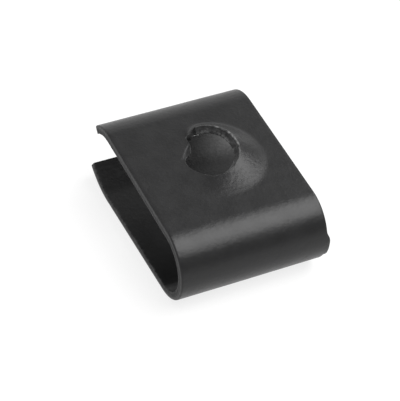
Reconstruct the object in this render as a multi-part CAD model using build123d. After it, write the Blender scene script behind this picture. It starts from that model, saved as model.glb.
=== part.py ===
from build123d import *
import os
from math import acos, cos, degrees, pi, radians, sin, sqrt

# U clip speed nut: one strip of spring steel, folded into a U that slides over a panel's edge.
# The fold faces -Y and the mouth +Y. The upper leaf carries a pressed screw-thread impression
# and the lower leaf a clearance hole. The origin is on the screw's axis, under the lower leaf.
# Lengths are in millimetres and angles in degrees.

# The strip
strip_width = 12.7
sheet = 0.7
edge_roll = 0.15            # rounding that shearing leaves round the outer face

# The fold and the two leaves. Radii are those of the outer face.
fold_radius = 3.2
upper_rise = 3.1            # how far the upper leaf stands open before the clip is fastened
upper_flat = 11.25
upper_curl_radius = 3.5
upper_curl_angle = 48
lower_flat = 10.8
lower_curl_radius = 5.9
lower_curl_angle = 37

# The thread impression. A relief slot runs from the hole along the leaf. The punch presses the
# rim's low end, on the slot's left, below the leaf and arches the rest of the rim up. From the
# low end the rim rises to the leaf, follows it, and climbs to its high end on the slot's right,
# one screw pitch above the low end. Directions turn anticlockwise about the hole's axis, from
# +X, and turns are counted the same way from the low end.
impression_along = 6.35     # from the end of the fold, along the upper leaf
impression_aside = 0.2      # the punch struck this far to the right of the strip's middle
core_radius = 2.0           # the pierced rim, which runs in the root of the screw's thread
thread_pitch = 1.59         # No. 10 (ST4.8) sheet-metal screw, 16 threads to the inch
rim_dip = 0.4               # from the leaf down to the rim's low end
dip_turn = 68               # where the rim has risen to the leaf
climb_turn = 148            # where it leaves the leaf again
crest_turn = 308            # where it has reached its full height
rim_lean = 33               # slope of the sheet at the rim, where it's bent up or down
lean_rise = 0.25            # the rise or dip of the rim at which it leans that far
tooth_turn = 22             # the low end is a rounded tooth, with its tip here
tooth_end = 72
tooth_reach = 0.5           # from the plain rim to the tooth's tip

# The relief slot, which frees the arch from the tooth
relief_aside = -0.51        # from the hole's axis to the slot's middle line
relief_width = 0.58
relief_reach = 3.05         # from the hole's axis to the far end of the slot's round end

# The dome round the rim
foot_radius = 4.1           # the circle where the dome meets the flat leaf
foot_offset = 0.85          # from the hole's axis to that circle's centre
foot_direction = -35
foot_knee = 0.7             # share of the way to the foot at which the arch meets the leaf
tooth_knee = 0.3            # and that at which the pressed-down tooth does
knee_blend = 0.6            # share of each of the knee's two sides that its curve takes up
foot_margin = 0.4           # ring of flat leaf pressed in one with the dome

# The clearance hole in the lower leaf
clearance_radius = 3.2

# What is left of the tab that held the blank in its coil, on the right edge of the fold
tab_proud = 0.29
tab_above = 14              # from the fold's nose towards the upper leaf
tab_below = 25              # and towards the lower leaf

# How finely the dome is sectioned
section_turn = 12           # from one section to the next
fall_step = 3               # and across the slot, where the dome falls to the low end
corner_step = 15            # and round the quarter ellipse of the tooth's corner


# ---------------------------------------------------------------- the folded strip

def strip_outline(inset):
    """The strip's side outline from the lower tip to the upper one, inset from its outer face."""
    start = (0, inset)
    lower = Line((lower_flat, inset), start)
    lower_curl = JernArc(lower @ 0, (1, 0), lower_curl_radius - inset, lower_curl_angle)
    fold = JernArc(start, (-1, 0), fold_radius - inset, upper_rise - 180)
    upper = PolarLine(fold @ 1, upper_flat, direction=fold % 1)
    upper_curl = JernArc(upper @ 1, upper % 1, upper_curl_radius - inset, -upper_curl_angle)
    return [lower_curl, lower, fold, upper, upper_curl]


def strip_profile():
    """The side face of the folded sheet."""
    outer = strip_outline(0)
    inner = strip_outline(sheet)
    lower_tip = Line(outer[0] @ 1, inner[0] @ 1)
    upper_tip = Line(outer[-1] @ 1, inner[-1] @ 1)
    return make_face([*outer, upper_tip, *inner, lower_tip])


def rolled_edges(strip):
    """The edges round the outer face: its two long sides and its two tips."""
    outer = [Plane.YZ * edge for edge in strip_outline(0)]
    tips = [outer[0] @ 1, outer[-1] @ 1]
    middles = [edge @ 0.5 for edge in outer]
    edges = []
    for edge in strip.edges():
        middle = edge @ 0.5
        on_plane = Vector(0, middle.Y, middle.Z)
        places = tips if abs(middle.X) < sheet else middles
        if min((on_plane - place).length for place in places) < sheet / 100:
            edges.append(edge)
    return edges


def folded_strip():
    """The strip, folded, with the edges of its outer face rolled over by the shear."""
    strip = extrude(Plane.YZ * strip_profile(), strip_width / 2, both=True)
    return fillet(rolled_edges(strip), edge_roll)


def carrier_tab():
    """The sheared-off tab: a stretch of the fold that stands proud of its right edge."""
    nose = 180
    sweep_angle = tab_above + tab_below
    centre = (0, fold_radius)
    outer = CenterArc(centre, fold_radius, nose - tab_above, sweep_angle)
    inner = CenterArc(centre, fold_radius - sheet, nose - tab_above, sweep_angle)
    ends = [Line(outer @ share, inner @ share) for share in (0, 1)]
    side = make_face([outer, ends[1], inner, ends[0]])
    return extrude(Plane.YZ * side, strip_width / 2 + tab_proud)


# ---------------------------------------------------------------- the thread impression

def eased(share):
    """A share that leaves 0 and reaches 1 smoothly."""
    return (1 - cos(pi * min(max(share, 0), 1))) / 2


def rim_direction(aside):
    """The direction in which the plain rim lies that far aside of the hole's axis."""
    return degrees(acos(aside / core_radius))


def low_end():
    """The direction of the rim's low end, on the slot's left."""
    return rim_direction(relief_aside - relief_width / 2)


def high_turn():
    """The turn at the rim's high end, on the slot's right."""
    return 360 - low_end() + rim_direction(relief_aside + relief_width / 2)


def rim_height(turn):
    """The rim's height above the leaf. Beyond the high end, across the slot, it falls back."""
    dip = rim_dip * (1 - eased(turn / dip_turn))
    climb = eased((turn - climb_turn) / (crest_turn - climb_turn))
    fall = eased((turn - high_turn()) / (360 - high_turn()))
    return (thread_pitch - rim_dip) * climb - dip - thread_pitch * fall


def rim_lean_run(height):
    """How far the rim's end face leans outwards over the sheet's thickness, or inwards if < 0."""
    lean = sheet * sin(radians(rim_lean)) * eased(abs(height) / lean_rise)
    return lean if height > 0 else -lean


def rim_radius(turn):
    """The hole's radius, which the tooth narrows beside the lance."""
    if turn < tooth_turn:
        return core_radius - tooth_reach * sqrt(1 - (1 - turn / tooth_turn) ** 2)
    return core_radius - tooth_reach * (1 - eased((turn - tooth_turn) / (tooth_end - tooth_turn)))


def reach_of_circle(radius, direction):
    """The distance from the hole's axis to a circle about the foot's centre."""
    angle = radians(direction - foot_direction)
    return foot_offset * cos(angle) + sqrt(radius**2 - (foot_offset * sin(angle)) ** 2)


def slope_curve(top, knee, foot):
    """The curve of one face of the sheet, from the rim down to the foot."""
    return Bezier(top, top + (knee - top) * (1 - knee_blend / 2),
                  foot + (knee - foot) * (1 - knee_blend / 2), foot)


def slope_face(rim, foot):
    """One face of the sheet from the rim to the foot, with its knee level with the foot."""
    knee_share = foot_knee if rim.Y > foot.Y else tooth_knee
    knee = Vector(rim.X + knee_share * (foot.X - rim.X), foot.Y)
    return slope_curve(rim, knee, foot)


def dome_section(turn):
    """A cut through the sheet by the half-plane at one turn, from the rim to beyond the foot."""
    direction = low_end() + turn
    height = rim_height(turn)
    foot = reach_of_circle(foot_radius, direction)
    border = reach_of_circle(foot_radius + 2 * foot_margin, direction)
    lean = rim_lean_run(height)
    upper_rim = Vector(rim_radius(turn) + max(lean, 0), height)
    lower_rim = Vector(rim_radius(turn) - min(lean, 0), height - sqrt(sheet**2 - lean**2))
    upper_foot = Vector(foot, 0)
    lower_foot = Vector(foot, -sheet)
    upper_border = Vector(border, 0)
    lower_border = Vector(border, -sheet)
    outline = Wire([
        Line(lower_rim, upper_rim),
        slope_face(upper_rim, upper_foot),
        Line(upper_foot, upper_border),
        Line(upper_border, lower_border),
        Line(lower_border, lower_foot),
        slope_face(lower_rim, lower_foot),
    ])
    angle = radians(direction)
    half_plane = Plane((0, 0, 0), x_dir=(cos(angle), sin(angle), 0),
                       z_dir=(sin(angle), -cos(angle), 0))
    return half_plane * outline


def corner_turns():
    """Where to cut the tooth's corner: closer together towards the slot, where it is sharper."""
    steps = round(90 / corner_step)
    return [tooth_turn * (1 - cos(radians(90 * step / steps))) for step in range(steps + 1)]


def even_turns(first, last, apart):
    """Turns from first to last, about that far apart."""
    steps = round((last - first) / apart)
    return [first + (last - first) * step / steps for step in range(steps + 1)]


def impression_place():
    """The plane of the upper leaf's outer face, with its origin on the impression's axis."""
    leaf = strip_outline(0)[3]
    centre = Plane.YZ.from_local_coords(leaf @ (impression_along / upper_flat))
    normal = (0, -sin(radians(upper_rise)), cos(radians(upper_rise)))
    return Plane(centre + Vector(impression_aside, 0, 0), x_dir=(1, 0, 0), z_dir=normal)


def impression_plug():
    """A round plug about the foot's centre, which holds the whole impression."""
    turn = radians(foot_direction)
    depth = 2 * sheet
    height = depth + 2 * thread_pitch
    base = (foot_offset * cos(turn), foot_offset * sin(turn), -depth)
    return Pos(base) * Cylinder(foot_radius + foot_margin, height,
                                align=(Align.CENTER, Align.CENTER, Align.MIN))


def relief_slot():
    """What the relief slot takes away: a slot from the hole's axis to a round end."""
    depth = 2 * sheet
    height = depth + 2 * thread_pitch
    length = relief_reach - relief_width / 2
    sides = Box(relief_width, length, height, align=(Align.CENTER, Align.MIN, Align.MIN))
    end = Cylinder(relief_width / 2, height, align=(Align.CENTER, Align.CENTER, Align.MIN))
    return Pos(relief_aside, 0, -depth) * (sides + Pos(0, length, 0) * end)


def dome_between(turns):
    """The dome's sheet over some turns."""
    return Solid.make_loft([dome_section(turn) for turn in turns])


def thread_impression():
    """The pressed dome with its helical rim and its slot, trimmed to the plug."""
    rim = dome_between(corner_turns() + even_turns(tooth_turn, high_turn(), section_turn)[1:])
    fall = dome_between(even_turns(high_turn(), 360, fall_step))
    return ((rim + fall) & impression_plug()) - relief_slot()


# ---------------------------------------------------------------- the clip

def u_clip():
    place = impression_place()
    clearance = Pos(place.origin.X, place.origin.Y, 0) * Cylinder(clearance_radius, 4 * sheet)
    blank = folded_strip() + carrier_tab() - clearance
    clip = blank - place * impression_plug() + place * thread_impression()
    return Pos(-place.origin.X, -place.origin.Y, 0) * clip


os.makedirs("parts", exist_ok=True)
export_step(u_clip(), "parts/u_clip.step")
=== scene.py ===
"""The looks of the U clip speed nut: a spring-steel strip, folded and pressed, with a black finish.

The clip is built again here as one fine mesh, over the same profile and the same pressed
impression as the construction, with what shearing, piercing and breaking off leave on its edges.
Sizes are in millimetres and degrees until a vertex is placed, and metres after that.
"""
from collections import namedtuple
from math import acos, atan2, cos, degrees, pi, radians, sin, sqrt

import bpy
from mathutils import Matrix, Vector, noise


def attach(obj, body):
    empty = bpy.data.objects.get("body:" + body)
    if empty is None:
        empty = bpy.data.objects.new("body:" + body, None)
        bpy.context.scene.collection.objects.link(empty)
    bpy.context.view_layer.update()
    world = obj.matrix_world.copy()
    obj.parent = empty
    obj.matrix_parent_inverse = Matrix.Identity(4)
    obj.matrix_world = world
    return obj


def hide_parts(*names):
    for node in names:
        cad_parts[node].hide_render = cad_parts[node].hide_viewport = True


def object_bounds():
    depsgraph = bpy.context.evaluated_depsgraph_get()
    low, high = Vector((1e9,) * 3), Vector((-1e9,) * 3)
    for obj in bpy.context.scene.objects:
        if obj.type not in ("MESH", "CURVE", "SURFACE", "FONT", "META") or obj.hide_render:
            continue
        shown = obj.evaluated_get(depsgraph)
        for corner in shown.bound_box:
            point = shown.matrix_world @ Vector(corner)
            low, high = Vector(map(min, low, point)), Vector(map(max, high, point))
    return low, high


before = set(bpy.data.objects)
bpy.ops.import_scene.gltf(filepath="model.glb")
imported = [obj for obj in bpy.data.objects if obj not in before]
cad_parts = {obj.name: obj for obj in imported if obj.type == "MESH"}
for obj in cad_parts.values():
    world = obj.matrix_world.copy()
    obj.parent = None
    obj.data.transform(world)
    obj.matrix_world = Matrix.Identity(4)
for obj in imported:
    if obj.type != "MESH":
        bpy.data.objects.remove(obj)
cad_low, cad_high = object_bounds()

MM = 0.001

# ---------------------------------------------------------------- sizes of the construction
# They are the solid's, apart from those marked: the dome here rises earlier and its foot lies
# elsewhere, and the slot and the tab are shorter.

strip_width = 12.7
sheet = 0.7
edge_roll = 0.15
fold_radius = 3.2
upper_rise = 3.1
upper_flat = 11.25
upper_curl_radius = 3.5
upper_curl_angle = 48
lower_flat = 10.8
lower_curl_radius = 5.9
lower_curl_angle = 37

impression_along = 6.35
impression_aside = 0.2
core_radius = 2.0
thread_pitch = 1.59
rim_dip = 0.4
dip_turn = 68
climb_turn = 80             # the solid has 148
crest_turn = 308
rim_lean = 33
lean_rise = 0.25
tooth_turn = 22
tooth_end = 72
tooth_reach = 0.5
relief_aside = -0.51
relief_width = 0.58
relief_reach = 2.72         # the solid has 3.05
foot_radius = 4.3           # the solid has 4.1
foot_offset = 0.55          # the solid has 0.85
foot_direction = -60        # the solid has -35
foot_knee = 0.8             # the solid has 0.7
knee_blend = 0.6
clearance_radius = 3.2

tab_proud = 0.22            # the solid has 0.29
tab_above = 14
tab_below = 25

# ---------------------------------------------------------------- sizes of the fine detail

crest_round = 0.18          # how far the punch rounded the raised rim's upper corner
plain_round = 0.06          # and the corner of the rest of the rim
rim_burr = 0.05             # the sharper corner under it
rim_ledge = 0.08            # how far the raised rim's foot stands in from the wall above it
ledge_start = 0.82          # how torn the wall is where that ledge starts
ledge_run = 0.08            # and how much more so where it is full
slot_pull = 0.42            # how far the punch drew the slot's end in on the inner face
inner_round = 0.04          # the sheared edges' corner on the inner face
corner_cut = 0.3            # share of that corner's size by which its middle is cut back
hole_round = 0.12           # the clearance hole's corner on the outer face
press_run = 0.45            # how far back from its tip the tooth is bent
step_fan = 1.6              # how fast the dome's step at the slot widens beyond the slot's end
shear_roughness = 0.012     # how deep the fracture of a sheared edge is torn
rim_roughness = 0.05        # and where the punch broke through the rim last
break_direction = 72        # the direction of that place, and how far it reaches on both sides
break_spread = 55
tab_roughness = 0.05        # the fracture of the tab that was broken off
tab_slant = 8               # how far from square its upper end broke, in turn of the fold
tab_lip = 0.003             # share of the fold's length over which its lower end drops
tab_square = 0.7            # how much squarer its corner is than a rolled edge
roll_torn = 0.2             # how torn a rolled edge is, beside the fracture under it
tear_spots = 2.7            # how many tears to the millimetre on the strip's edges
hole_tear_spots = 3         # and round the holes
leaf_waviness = 0.012       # how far the leaves are from flat
wave_length = 5             # and how long the waves in them are
wear_direction = 20         # the middle of the stretch of the rim that is worn bare
wear_spread = 75
edge_wear = 0.35            # how worn the other sheared corners are, beside that stretch
edge_wear_reach = 0.16      # how far up the strip's edges that wear goes from the inner face
wall_wear = 0.2             # how worn a hole's wall is, beside its corners
foot_wear_start = 0.6       # share of the wall where the wear of its foot starts
foot_wear_full = 0.85
full_press = 0.25           # the height above the leaf from which the dome is fully roughened

# Slices of the one noise, so that what reads it isn't alike
wave_slice = 7
upward_slice = 9

# How finely the mesh is divided
columns = 104               # across the strip
leaf_rows = 92              # along a flat leaf
lower_curl_rows = 26
upper_curl_rows = 22
fold_rows = 24              # along the fold, below the tab and again above it
tab_rows = 30
roll_rows = 4               # round a rolled edge
wall_rows = 3               # down a sheared edge
tip_turn = 75               # how far round its roll a tip is followed before it is capped
face_steps = 34             # from a leaf's border to its hole, on the outer face
inner_steps = 18            # and on the inner one
closeness = 1.7             # how much closer together those lie towards the hole
corner_steps = 5            # round a hole's outer corner
hole_wall_steps = 7
foot_steps = 3              # round its inner corner
slope_halvings = 12         # how often the dome's slope is halved to find a place on it
least_slant = 0.4           # a line that meets a hole's edge flatter than this counts as this

# The directions, from the hole's axis, between which the lines from the leaf's border run to the
# rim's high end, the slot's right side, its round end, its left side and the tooth
slot_fan = (80, 88, 96, 112, 128, 150)


def spread(first, last, count):
    """That many steps from first to last, both ends included."""
    return [first + (last - first) * number / count for number in range(count + 1)]


def eased(share):
    """A share that leaves 0 and reaches 1 smoothly."""
    return (1 - cos(pi * min(max(share, 0), 1))) / 2


def mix(first, second, share):
    """What lies part of the way from one number or point to another."""
    return first + (second - first) * share


def curve(points, share):
    """A point of the Bezier curve over some control points."""
    while len(points) > 1:
        points = [mix(a, b, share) for a, b in zip(points, points[1:])]
    return points[0]


# ---------------------------------------------------------------- the strip's side profile

def walk(start, length, turn, share):
    """The place (y, z, heading) part of the way along a stretch that bends right by turn."""
    y, z, heading = start
    turned = turn * share
    chord = length * share
    if turn:
        chord = 2 * length / turn * sin(turned / 2)
    bearing = heading - turned / 2
    return y + chord * cos(bearing), z + chord * sin(bearing), heading - turned


def stretches():
    """The five stretches of the outer face, from the lower tip: (start, length, turn)."""
    curl = radians(lower_curl_angle)
    tip_y = lower_flat + lower_curl_radius * sin(curl)
    tip_z = lower_curl_radius * (1 - cos(curl))
    start = (tip_y, tip_z, pi + curl)
    found = []
    for radius, angle, length in (
        (lower_curl_radius, lower_curl_angle, 0),
        (0, 0, lower_flat),
        (fold_radius, 180 - upper_rise, 0),
        (0, 0, upper_flat),
        (upper_curl_radius, upper_curl_angle, 0),
    ):
        turn = radians(angle)
        length = length or radius * turn
        found.append((start, length, turn))
        start = walk(start, length, turn, 1)
    return found


LOWER_CURL, LOWER_LEAF, FOLD, UPPER_LEAF, UPPER_CURL = range(5)
STRETCHES = stretches()
HOLE_Y = walk(*STRETCHES[UPPER_LEAF], impression_along / upper_flat)[0]


def place(stretch, share, across, depth):
    """A point of the sheet, that far across from the strip's middle and under the outer face."""
    y, z, heading = walk(*STRETCHES[stretch], share)
    x = across - impression_aside
    return Vector((x, y - HOLE_Y + depth * sin(heading), z - depth * cos(heading))) * MM


def along(stretch, share):
    """The distance of a row from the lower tip, over the outer face."""
    return sum(length for _, length, _ in STRETCHES[:stretch]) + STRETCHES[stretch][1] * share


# ---------------------------------------------------------------- rows along the strip

def row_shares(stretch):
    """Where the rows of one stretch lie, as shares of its length."""
    if stretch == FOLD:
        turn = STRETCHES[FOLD][2]
        lower_end = (pi / 2 - radians(tab_below)) / turn
        upper_end = (pi / 2 + radians(tab_above + tab_slant)) / turn
        below = spread(0, lower_end - tab_lip, fold_rows)
        on_tab = spread(lower_end + tab_lip, upper_end, tab_rows)
        return below + on_tab + spread(upper_end, 1, fold_rows)[1:]
    if stretch == LOWER_CURL:
        return spread(edge_roll / STRETCHES[stretch][1], 1, lower_curl_rows)
    if stretch == UPPER_CURL:
        return spread(0, 1 - edge_roll / STRETCHES[stretch][1], upper_curl_rows)
    return spread(0, 1, leaf_rows)


def tip_rows(stretch):
    """The rows that follow a tip round its rolled edge: (share, turn of the roll)."""
    length = STRETCHES[stretch][1]
    turns = [radians(tip_turn) * number / roll_rows for number in range(1, roll_rows + 1)]
    if stretch == LOWER_CURL:
        return [(edge_roll * (1 - sin(turn)) / length, turn) for turn in reversed(turns)]
    return [(1 - edge_roll * (1 - sin(turn)) / length, turn) for turn in turns]


def strip_rows():
    """Every row across the strip as (stretch, share, turn of a tip's roll)."""
    rows = [(LOWER_CURL, share, turn) for share, turn in tip_rows(LOWER_CURL)]
    for stretch in range(len(STRETCHES)):
        shares = row_shares(stretch)
        if stretch > LOWER_CURL:
            shares = shares[1:]
        rows += [(stretch, share, 0) for share in shares]
    return rows + [(UPPER_CURL, share, turn) for share, turn in tip_rows(UPPER_CURL)]


def tab_share(stretch, share):
    """1 on the stretch of the fold where the carrier tab was broken off, and 0 elsewhere."""
    below = 90 - degrees(STRETCHES[FOLD][2]) * share
    if stretch != FOLD or below > tab_below:
        return 0
    return eased((tab_above + tab_slant + below) / (2 * tab_slant))


# ---------------------------------------------------------------- the section of the sheet

def edge_section(turn, tab):
    """A sheared edge from the outer face to the inner one: (distance out, depth, torn)."""
    roll = edge_roll * cos(turn)
    out = roll + tab_proud * tab
    rounded = 1 - tab_square * tab
    points = []
    for number in range(1, roll_rows + 1):
        angle = pi / 2 * number / roll_rows
        depth = edge_roll - roll * (1 - rounded + rounded * cos(angle))
        points.append((out * sin(angle), depth, roll_torn))
    foot = sheet - inner_round
    for number in range(1, wall_rows + 1):
        share = number / wall_rows
        points.append((out, edge_roll + (foot - edge_roll) * share, eased(share * 2)))
    cut = corner_cut * inner_round
    points.append((out - cut, sheet - cut, 1.0))
    points.append((out - inner_round, sheet, 0.5))
    return points


def section(turn, tab):
    """The loop round the sheet: (across, depth, side, torn). It starts at the outer face's left."""
    half = strip_width / 2 - edge_roll
    face = edge_roll * (1 - cos(turn))
    loop = [(across, face, 0, 0) for across in spread(-half, half, columns)]
    loop += [(half + out, depth, 1, torn) for out, depth, torn in edge_section(turn, tab)]
    loop += [(across, sheet, 0, 0) for across in spread(half, -half, columns)]
    loop += [(-half - out, depth, -1, torn) for out, depth, torn in reversed(edge_section(turn, 0))]
    return loop


EDGE_POINTS = len(edge_section(0, 0))
OUTER = range(columns + 1)
INNER = range(columns + 1 + EDGE_POINTS, 2 * columns + 2 + EDGE_POINTS)
LOOP_POINTS = 2 * (columns + 1 + EDGE_POINTS)


def waviness(across, reach):
    """How far the leaves lie from flat at a place on the strip."""
    spot = Vector((across / wave_length, reach / wave_length, wave_slice))
    return leaf_waviness * noise.noise(spot)


def edge_tear(across, reach, depth):
    """The noise of a torn edge, from -1 to 1."""
    return noise.noise(Vector((across, reach, depth)) * tear_spots)


class Sheet:
    """The mesh while it grows: its vertices, its faces, and for each vertex where it lies on the
    unfolded strip and how far it is sheared, worn and pressed."""

    def __init__(self):
        self.places = []
        self.faces = []
        self.unfolded = []
        self.sheared = []
        self.worn = []
        self.pressed = []

    def add(self, point, across, reach, depth, sheared, worn=0, pressed=0):
        """Add a vertex and return its number."""
        self.places.append(point)
        self.unfolded.append((across, reach, depth))
        self.sheared.append(sheared)
        self.worn.append(worn)
        self.pressed.append(pressed)
        return len(self.places) - 1


def add_row(sheet_mesh, stretch, share, turn, whole):
    """One row across the strip. Where a leaf's own mesh takes its place, only its edges."""
    reach = along(stretch, share)
    tab = tab_share(stretch, share)
    row = {}
    for column, (across, depth, side, torn) in enumerate(section(turn, tab)):
        inside = 0 < column < columns or INNER[0] < column < INNER[-1]
        if inside and not whole:
            continue
        rough = shear_roughness + tab_roughness * tab * (side > 0)
        tear = side * torn * rough * edge_tear(across, reach, depth)
        point = place(stretch, share, across + tear, depth - waviness(across, reach))
        worn = edge_wear * eased(1 - (sheet - depth) / edge_wear_reach) if side else 0
        row[column] = sheet_mesh.add(point, across, reach, depth, abs(side) * torn, worn)
    return row


def join_rows(sheet_mesh, first, second):
    """The faces between two rows, wherever both have their vertices."""
    for column in range(LOOP_POINTS):
        following = (column + 1) % LOOP_POINTS
        near, far = first.get(column), first.get(following)
        corners = [near, far, second.get(following), second.get(column)]
        if None not in corners:
            sheet_mesh.faces.append(corners)


def cap_tip(sheet_mesh, row, stretch, share, turn, facing):
    """The sheared end of a tip: a grid between the outer face's row and the inner one's."""
    reach = along(stretch, share)
    edge = [(0, edge_roll * (1 - cos(turn)), 0)] + edge_section(turn, 0) + [(0, sheet, 0)]
    lines = [[row[column] for column in OUTER]]
    for number in range(1, len(edge) - 1):
        depth = edge[number][1]
        line = [row[LOOP_POINTS - number]]
        for column in range(1, columns):
            across = section(turn, 0)[column][0]
            tear = shear_roughness * edge_tear(across, reach, depth)
            point = place(stretch, share + tear / STRETCHES[stretch][1], across, depth)
            line.append(sheet_mesh.add(point, across, reach, depth, edge[number][2]))
        line.append(row[columns + number])
        lines.append(line)
    lines.append([row[column] for column in reversed(INNER)])
    for upper, lower in zip(lines, lines[1:]):
        for column in range(columns):
            corners = [upper[column], upper[column + 1], lower[column + 1], lower[column]]
            sheet_mesh.faces.append(corners[::facing])


# ---------------------------------------------------------------- the pressed impression

SLOT_LEFT = relief_aside - relief_width / 2
SLOT_RIGHT = relief_aside + relief_width / 2
SLOT_END = relief_reach - relief_width / 2
LOW_END = degrees(acos(SLOT_LEFT / core_radius))
HIGH_TURN = 360 - LOW_END + degrees(acos(SLOT_RIGHT / core_radius))
FULL_LEAN = sheet * sin(radians(rim_lean))


def polar(distance, direction):
    """The place that far from the hole's axis in a direction in degrees."""
    return Vector((cos(radians(direction)), sin(radians(direction)))) * distance


def direction_of(spot):
    """The direction in degrees in which a place lies from the hole's axis."""
    return degrees(atan2(spot.y, spot.x))


def turn_of(direction):
    """How far anticlockwise from the rim's low end a direction lies."""
    return (direction - LOW_END) % 360


def arch_height(turn):
    """The arched rim's height above the leaf."""
    return (thread_pitch - rim_dip) * eased((turn - climb_turn) / (crest_turn - climb_turn))


def tooth_share(turn):
    """How much of the tooth's dip a direction has. Beyond the high end it is the tooth's again."""
    return 1 if turn > HIGH_TURN else 1 - eased(turn / dip_turn)


def rim_radius(turn):
    """The hole's radius, which the tooth narrows beside the slot."""
    if turn < tooth_turn:
        return core_radius - tooth_reach * sqrt(1 - (1 - turn / tooth_turn) ** 2)
    return core_radius - tooth_reach * (1 - eased((turn - tooth_turn) / (tooth_end - tooth_turn)))


def lean_out(height):
    """How far the rim's end face leans outwards over the sheet's thickness."""
    return FULL_LEAN * eased(abs(height) / lean_rise)


def foot_reach(direction):
    """The distance from the hole's axis to the dome's foot."""
    angle = radians(direction - foot_direction)
    return foot_offset * cos(angle) + sqrt(foot_radius**2 - (foot_offset * sin(angle)) ** 2)


def slope_share(way):
    """How much of the rim's height is left that share of the way from the rim to the foot."""
    top, knee, foot = Vector((0, 1)), Vector((foot_knee, 0)), Vector((1, 0))
    leaving = 1 - knee_blend / 2
    points = [top, mix(top, knee, leaving), mix(foot, knee, leaving), foot]
    low, high = 0, 1
    for _ in range(slope_halvings):
        middle = (low + high) / 2
        if curve(points, middle).x < way:
            low = middle
        else:
            high = middle
    return curve(points, low).y


def pressed_level(spot, inner):
    """The level of the pressed sheet's outer face, or of its inner one, above the flat leaf."""
    direction = direction_of(spot)
    turn = turn_of(direction)
    step_right = SLOT_RIGHT + step_fan * max(spot.y - SLOT_END, 0)
    past_slot = eased((step_right - spot.x) / (step_right - SLOT_LEFT)) if spot.y > 0 else 0
    level = -sheet if inner else 0
    if past_slot or turn < dip_turn:
        tip = LOW_END + tooth_turn
        behind = spot.dot(polar(1, tip)) - core_radius + tooth_reach
        level -= rim_dip * tooth_share(turn) * past_slot * (1 - eased(behind / press_run))
    height = arch_height(turn) * (1 - past_slot)
    if height > 0:
        lean = lean_out(height)
        rim = core_radius if inner else core_radius + lean
        way = (spot.length - rim) / (foot_reach(direction) - rim)
        rise = height + sheet - sqrt(sheet**2 - lean**2) if inner else height
        level += rise * slope_share(min(max(way, 0), 1))
    return level


def rim_place(direction, inner):
    """Where the rim's corner lies in a direction, on the outer face or on the inner one."""
    turn = turn_of(direction)
    if turn < dip_turn or turn > HIGH_TURN:
        lean = lean_out(rim_dip * tooth_share(turn))
        return polar(rim_radius(turn) + (lean if inner else 0), direction)
    lean = lean_out(arch_height(turn))
    return polar(rim_radius(turn) + (0 if inner else lean), direction)


def meeting(side, radius):
    """Where the rim, at that radius, meets one side of the slot."""
    return Vector((side, sqrt(radius**2 - side**2)))


def impression_edge(direction, inner):
    """The edge of the threaded hole and its slot, that the line from a border place runs to."""
    if not slot_fan[0] < direction < slot_fan[-1]:
        return rim_place(direction, inner)
    part = max(number for number, start in enumerate(slot_fan) if start < direction)
    share = (direction - slot_fan[part]) / (slot_fan[part + 1] - slot_fan[part])
    end = SLOT_END - (slot_pull if inner else 0)
    high = meeting(SLOT_RIGHT, core_radius + (0 if inner else FULL_LEAN))
    low = meeting(SLOT_LEFT, core_radius + (FULL_LEAN if inner else 0))
    if part == 0:
        return rim_place(mix(slot_fan[0], direction_of(high), share), inner)
    if part == 1:
        return mix(high, Vector((SLOT_RIGHT, end)), share)
    if part == 2:
        return Vector((relief_aside, end)) + polar(relief_width / 2, 180 * share)
    if part == 3:
        return mix(Vector((SLOT_LEFT, end)), low, share)
    return rim_place(mix(direction_of(low), slot_fan[-1], share**2), inner)


def rubbed(point):
    """1 in the middle of the rim's raised side, where the screw's thread rubs, falling to 0."""
    return 1 - eased(abs(direction_of(point) - wear_direction) / wear_spread)


def rim_tear(point, torn):
    """How far out and up a torn place of the rim lies: most where the punch broke out."""
    past = abs(direction_of(point) - break_direction) / break_spread
    deep = torn * mix(rim_roughness, shear_roughness, eased(past))
    ledge = rim_ledge * rubbed(point) * eased((torn - ledge_start) / ledge_run)
    spot = point * hole_tear_spots
    out = deep * noise.noise(spot) - ledge
    return out, deep * noise.noise(spot + Vector((0, 0, upward_slice)))


# ---------------------------------------------------------------- a leaf and its hole

# What differs between the two holes: where the edge lies in a direction, the level of a face at a
# place, how far the outer and inner corners are rounded, and how the edge is torn and worn there
Hole = namedtuple("Hole", "edge level outer_round inner_round tear wear")


def clearance_edge(direction, inner):
    """The clearance hole's edge, alike on both faces."""
    return polar(clearance_radius, direction)


def flat_level(spot, inner):
    """The level of the flat leaf's outer face, or of its inner one."""
    return -sheet if inner else 0


def clearance_tear(point, torn):
    """The clearance hole's edge is only slightly torn, and only outwards."""
    return torn * shear_roughness * noise.noise(point * hole_tear_spots), 0


def clearance_wear(point):
    """The clearance hole's corners are worn as the strip's edges are."""
    return edge_wear


def rim_wear(point):
    """How worn the rim's corners are: most where the screw's thread rubs, on its raised side."""
    return mix(edge_wear, 1, rubbed(point))


def rim_round(point):
    """How far the rim's upper corner is rounded."""
    return mix(plain_round, crest_round, rubbed(point))


def clearance_round(point):
    """The clearance hole's outer corner is alike all round."""
    return hole_round


THREADED = Hole(impression_edge, pressed_level, rim_round, rim_burr, rim_tear, rim_wear)
CLEARANCE = Hole(
    clearance_edge, flat_level, clearance_round, inner_round, clearance_tear, clearance_wear)


def leaf_ring(rows, columns_used):
    """The vertices round a leaf's face, anticlockwise from its left end at the first row."""
    first, last = rows[0], rows[-1]
    left, right = columns_used[0], columns_used[-1]
    ring = [first[column] for column in columns_used]
    ring += [row[right] for row in rows[1:-1]]
    ring += [last[column] for column in reversed(columns_used)]
    return ring + [row[left] for row in reversed(rows[1:-1])]


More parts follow.
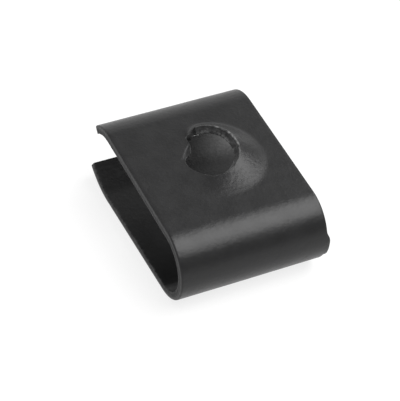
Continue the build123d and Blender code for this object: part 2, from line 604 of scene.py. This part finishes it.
def face_line(hole, edge, border, rounding, inner):
    """The places of one face, from its hole's rounding up to the border but not on it."""
    steps = inner_steps if inner else face_steps
    start = rounding / (border - edge).length
    line = []
    for share in spread(0, 1, steps)[:-1]:
        spot = mix(edge, border, mix(start, 1, share**closeness))
        line.append(Vector((*spot, hole.level(spot, inner))))
    return line


def hole_line(hole, border, edges, slant):
    """The sheet's surface along one line: (place, torn, share of the wear there), from the border
    on the outer face in to the hole, through it and back out to the border on the inner face."""
    corners = [Vector((*edge, hole.level(edge, inner))) for inner, edge in enumerate(edges)]
    outer_round = hole.outer_round(edges[0])
    outer = face_line(hole, edges[0], border, outer_round / slant, False)
    inner = face_line(hole, edges[1], border, hole.inner_round / slant, True)
    wall = (corners[1] - corners[0]).length
    wall_top = mix(corners[0], corners[1], outer_round / wall)
    wall_foot = mix(corners[1], corners[0], hole.inner_round / wall)
    line = [(point, 0, 0) for point in reversed(outer)]
    for share in spread(0, 1, corner_steps)[1:]:
        line.append((curve([outer[0], corners[0], wall_top], share), share / 2, sin(pi * share)))
    for share in spread(0, 1, hole_wall_steps)[1:]:
        near_foot = (share - foot_wear_start) / (foot_wear_full - foot_wear_start)
        exposed = mix(wall_wear, 1, eased(near_foot))
        line.append((mix(wall_top, wall_foot, share), 0.5 + share / 2, exposed))
    for share in spread(0, 1, foot_steps)[1:]:
        line.append((curve([wall_foot, corners[1], inner[0]], share), 1 - share, 1 - share))
    return line + [(point, 0, 0) for point in inner[1:]]


def slants(edges, borders):
    """For each line to the hole, the sine of the angle at which it meets the hole's edge."""
    found = []
    for number, (edge, border) in enumerate(zip(edges, borders)):
        ahead = (edges[(number + 1) % len(edges)] - edges[number - 1]).normalized()
        found.append(max(abs(ahead.cross((border - edge).normalized())), least_slant))
    return found


def leaf_with_hole(sheet_mesh, rows, stretch, hole):
    """A flat leaf's two faces and its hole."""
    outer_ring = leaf_ring(rows, list(OUTER))
    inner_ring = leaf_ring(rows, list(reversed(INNER)))
    start, length, _ = STRETCHES[stretch]
    before = along(stretch, 0)
    centre = Vector((impression_aside, abs(HOLE_Y - start[0]) / abs(cos(start[2]))))
    borders = []
    for vertex in outer_ring:
        across, reach = sheet_mesh.unfolded[vertex][:2]
        borders.append(Vector((across, reach - before)) - centre)
    directions = [direction_of(border) for border in borders]
    edges = [[hole.edge(way, inner) for way in directions] for inner in (False, True)]
    lines = []
    for outer, inner, border, outer_edge, inner_edge, slant in zip(
            outer_ring, inner_ring, borders, *edges, slants(edges[0], borders)):
        line = [outer]
        for point, torn, exposed in hole_line(hole, border, (outer_edge, inner_edge), slant):
            torn_out, torn_up = hole.tear(point, torn)
            spot = point.xy + point.xy.normalized() * torn_out + centre
            depth = -point.z - torn_up - waviness(spot.x, before + spot.y)
            placed = place(stretch, spot.y / length, spot.x, depth)
            pressed = min(max(point.z, -sheet - point.z, 0) / full_press, 1)
            worn = exposed * hole.wear(point)
            line.append(sheet_mesh.add(
                placed, spot.x, before + spot.y, -point.z, torn, worn, pressed))
        lines.append(line + [inner])
    for line, following in zip(lines, lines[1:] + lines[:1]):
        for number in range(len(line) - 1):
            corners = [line[number], following[number], following[number + 1], line[number + 1]]
            sheet_mesh.faces.append(corners)


# ---------------------------------------------------------------- the clip

def clip_mesh():
    """The whole clip as one closed mesh."""
    clip = Sheet()
    rows = []
    leaves = {LOWER_LEAF: [], UPPER_LEAF: []}
    listed = strip_rows()
    for stretch, share, turn in listed:
        bordering = stretch in leaves and share < 1
        rows.append(add_row(clip, stretch, share, turn, whole=not bordering))
        if stretch in leaves:
            leaves[stretch] += rows[-1:] if leaves[stretch] else rows[-2:]
    for first, second in zip(rows, rows[1:]):
        join_rows(clip, first, second)
    cap_tip(clip, rows[0], *listed[0], facing=1)
    cap_tip(clip, rows[-1], *listed[-1], facing=-1)
    leaf_with_hole(clip, leaves[LOWER_LEAF], LOWER_LEAF, CLEARANCE)
    leaf_with_hole(clip, leaves[UPPER_LEAF], UPPER_LEAF, THREADED)
    return clip


def build_clip():
    """The clip as a Blender object, with what its material reads from each vertex."""
    clip = clip_mesh()
    mesh = bpy.data.meshes.new("u_clip_detail")
    mesh.from_pydata(clip.places, [], clip.faces)
    mesh.validate()
    mesh.polygons.foreach_set("use_smooth", [True] * len(mesh.polygons))
    unfolded = mesh.attributes.new("unfolded", "FLOAT_VECTOR", "POINT")
    unfolded.data.foreach_set("vector", [value for spot in clip.unfolded for value in spot])
    for name in ("sheared", "worn", "pressed"):
        attribute = mesh.attributes.new(name, "FLOAT", "POINT")
        attribute.data.foreach_set("value", getattr(clip, name))
    piece = bpy.data.objects.new("u_clip_detail", mesh)
    bpy.context.scene.collection.objects.link(piece)
    return piece


# ---------------------------------------------------------------- the finish

# The coating where it is darkest and lightest, and the steel under it
coating_dark = (0.007, 0.007, 0.0073, 1)
coating_light = (0.012, 0.012, 0.0124, 1)
bare_steel = (0.3, 0.3, 0.3, 1)
coating_ior = 1.41

# Three noises vary it. Each has its spots to the millimetre and its detail.
mottle_noise = (0.7, 3)     # broad patches
grain_noise = (4.5, 3)      # the coating's grain
galling_noise = (2.6, 4)    # rubbed places
galling_range = (0.35, 0.65)    # the values of that noise from which it is 0 and 1
noise_range = (0.3, 0.7)        # and the values that the other two mostly keep to

# How far a fully worn place is bare, where it is rubbed least and most
rubbed_range = (0.3, 0.9)
bare_range = (0.05, 0.6)

# Roughness: over the mottle, and what the grain, a fracture and the inner face add to it
mottle_rough = (0.33, 0.39)
grain_rough = (-0.03, 0.03)
sheared_rough = 0.3
inner_rough = (0, 0.08)
inner_range = (0.2, sheet)  # the depths in the sheet between which the inner face's part grows

# Bumps: how deep, and how strong they are everywhere, where pressed, where sheared and in patches
bump_depth = 0.004
plain_bumps = 1.2
pressed_bumps = 1.2
sheared_bumps = 6
mottle_bumps = 5


class Nodes:
    """Shorthand for the nodes of one material."""

    def __init__(self, material):
        material.use_nodes = True
        self.tree = material.node_tree
        self.shader = self.tree.nodes["Principled BSDF"]

    def put(self, socket, value):
        """Set a socket to a number or a colour, or link it to another socket."""
        if isinstance(value, bpy.types.NodeSocket):
            self.tree.links.new(value, socket)
        else:
            socket.default_value = value

    def attribute(self, name):
        """The node that reads what the mesh holds for each vertex under that name."""
        node = self.tree.nodes.new("ShaderNodeAttribute")
        node.attribute_name = name
        return node

    def math(self, operation, first, second):
        """The outcome of one operation on two numbers."""
        node = self.tree.nodes.new("ShaderNodeMath")
        node.operation = operation
        self.put(node.inputs[0], first)
        self.put(node.inputs[1], second)
        return node.outputs[0]

    def third(self, spot):
        """The last of a place's three numbers."""
        node = self.tree.nodes.new("ShaderNodeSeparateXYZ")
        self.put(node.inputs[0], spot)
        return node.outputs["Z"]

    def noise(self, spot, spots, detail):
        """Noise with that many spots to the millimetre."""
        node = self.tree.nodes.new("ShaderNodeTexNoise")
        self.put(node.inputs["Vector"], spot)
        node.inputs["Scale"].default_value = spots
        node.inputs["Detail"].default_value = detail
        return node.outputs["Fac"]

    def ramp(self, value, source, target):
        """A value turned from one range into another, and held at both ends."""
        node = self.tree.nodes.new("ShaderNodeMapRange")
        self.put(node.inputs["Value"], value)
        for name, number in zip(("From Min", "From Max", "To Min", "To Max"), (*source, *target)):
            self.put(node.inputs[name], number)
        return node.outputs["Result"]

    def blend(self, share, first, second):
        """A colour between two greys."""
        node = self.tree.nodes.new("ShaderNodeMix")
        node.data_type = "RGBA"
        self.put(node.inputs["Factor"], share)
        self.put(node.inputs["A"], first)
        self.put(node.inputs["B"], second)
        return node.outputs["Result"]


def black_phosphate():
    """Black phosphate over spring steel, lightly oiled, and worn through on its torn edges."""
    material = bpy.data.materials.new("black_phosphate")
    nodes = Nodes(material)
    spot = nodes.attribute("unfolded").outputs["Vector"]
    sheared = nodes.attribute("sheared").outputs["Fac"]
    worn = nodes.attribute("worn").outputs["Fac"]
    pressed = nodes.attribute("pressed").outputs["Fac"]
    mottle = nodes.noise(spot, *mottle_noise)
    grain = nodes.noise(spot, *grain_noise)
    galling = nodes.ramp(nodes.noise(spot, *galling_noise), galling_range, (0, 1))

    bare = nodes.math("MULTIPLY", worn, nodes.ramp(galling, rubbed_range, bare_range))
    coating = nodes.blend(mottle, coating_dark, coating_light)
    nodes.put(nodes.shader.inputs["Base Color"], nodes.blend(bare, coating, bare_steel))
    nodes.put(nodes.shader.inputs["Metallic"], bare)

    rough = nodes.ramp(mottle, noise_range, mottle_rough)
    rough = nodes.math("ADD", rough, nodes.ramp(grain, noise_range, grain_rough))
    rough = nodes.math("ADD", rough, nodes.math("MULTIPLY", sheared, sheared_rough))
    rough = nodes.math("ADD", rough, nodes.ramp(nodes.third(spot), inner_range, inner_rough))
    nodes.put(nodes.shader.inputs["Roughness"], rough)

    strength = nodes.math("ADD", plain_bumps, nodes.math("MULTIPLY", pressed, pressed_bumps))
    strength = nodes.math("ADD", strength, nodes.math("MULTIPLY", sheared, sheared_bumps))
    fine = nodes.math("MULTIPLY", nodes.math("ADD", grain, galling), strength)
    height = nodes.math("ADD", fine, nodes.math("MULTIPLY", mottle, mottle_bumps))
    bump = nodes.tree.nodes.new("ShaderNodeBump")
    bump.inputs["Distance"].default_value = bump_depth * MM
    nodes.put(bump.inputs["Height"], height)
    nodes.put(nodes.shader.inputs["Normal"], bump.outputs["Normal"])
    nodes.shader.inputs["IOR"].default_value = coating_ior
    return material


# ---------------------------------------------------------------- the studio

camera_azimuth = -28.752
camera_elevation = 42.921
camera_roll = 4.682
camera_distance = 147.8
camera_aim = (-0.88, -0.783, 2.945)
camera_lens = 165.51
sensor_width = 36
clip_range = (0.001, 10)    # in metres

floor_half = 1.5            # in metres
floor_grey = 0.21
floor_roughness = 0.9
floor_glow = 0.8            # what it gives off itself, so that shadows stay faint
world_grey = 0.38           # the room, which the clip reflects


def light_table():
    """The plain pale floor: white acrylic, lit from below as well."""
    material = bpy.data.materials.new("light_table")
    material.use_nodes = True
    shader = material.node_tree.nodes["Principled BSDF"]
    shader.inputs["Base Color"].default_value = (floor_grey, floor_grey, floor_grey, 1)
    shader.inputs["Roughness"].default_value = floor_roughness
    shader.inputs["Specular IOR Level"].default_value = 0
    shader.inputs["Emission Color"].default_value = (1, 1, 1, 1)
    shader.inputs["Emission Strength"].default_value = floor_glow
    return material


def toward(azimuth, elevation):
    """The direction from the clip to a place at that azimuth and elevation.
    Azimuth 0 lies in front of the fold, along -Y, and 90 to its right, along +X."""
    a, e = radians(azimuth), radians(elevation)
    return Vector((sin(a) * cos(e), -cos(a) * cos(e), sin(e)))


def add_camera():
    """The camera, at the photograph's viewing angle."""
    data = bpy.data.cameras.new("camera")
    data.lens = camera_lens
    data.sensor_width = sensor_width
    data.sensor_fit = "HORIZONTAL"
    camera = bpy.data.objects.new("camera", data)
    back = toward(camera_azimuth, camera_elevation)
    camera.location = (Vector(camera_aim) + back * camera_distance) * MM
    look = (-back).to_track_quat("-Z", "Y").to_matrix()
    roll = Matrix.Rotation(radians(camera_roll), 3, "Z")
    camera.rotation_mode = "QUATERNION"
    camera.rotation_quaternion = (look @ roll).to_quaternion()
    data.clip_start, data.clip_end = clip_range
    bpy.context.scene.collection.objects.link(camera)
    bpy.context.scene.camera = camera


def add_softbox(name, width, height, radiance):
    """A rectangular light that shines down its own -Z. Its radiance is what a mirror would show."""
    data = bpy.data.lights.new(name, "AREA")
    data.shape = "RECTANGLE"
    data.size = width * MM
    data.size_y = height * MM
    data.energy = radiance * pi * width * height * MM**2
    light = bpy.data.objects.new(name, data)
    light.rotation_mode = "QUATERNION"
    bpy.context.scene.collection.objects.link(light)
    return light


def hang(light, x, y, z, turn):
    """Hang a softbox level over the clip, turned about the vertical."""
    light.location = Vector((x, y, z)) * MM
    light.rotation_quaternion = Matrix.Rotation(radians(turn), 3, "Z").to_quaternion()


def stand(light, azimuth, elevation, distance=400):
    """Stand a softbox beside the clip, facing it."""
    direction = toward(azimuth, elevation)
    light.location = direction * distance * MM
    light.rotation_quaternion = direction.to_track_quat("Z", "Y")


def add_world():
    """The room round the clip, an even grey."""
    world = bpy.data.worlds.new("studio")
    world.use_nodes = True
    background = world.node_tree.nodes["Background"]
    background.inputs["Color"].default_value = (world_grey, world_grey, world_grey, 1)
    bpy.context.scene.world = world


def add_floor():
    """The floor, level with the clip's lowest point."""
    mesh = bpy.data.meshes.new("floor")
    corners = [(-1, -1), (1, -1), (1, 1), (-1, 1)]
    places = [(x * floor_half, y * floor_half, cad_low.z) for x, y in corners]
    mesh.from_pydata(places, [], [(0, 1, 2, 3)])
    mesh.materials.append(light_table())
    floor = bpy.data.objects.new("floor", mesh)
    bpy.context.scene.collection.objects.link(floor)


# ---------------------------------------------------------------- the scene

clip = build_clip()
clip.data.materials.append(black_phosphate())
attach(clip, "root")
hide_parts("u_clip")

add_floor()
add_world()
hang(add_softbox("overhead", width=560, height=360, radiance=5.4), x=240, y=-70, z=400, turn=40)
stand(add_softbox("left", width=600, height=150, radiance=1.5), azimuth=240, elevation=12)
stand(add_softbox("back", width=560, height=300, radiance=0.65), azimuth=158, elevation=18)
add_camera()
bpy.context.scene.view_settings.view_transform = "Standard"
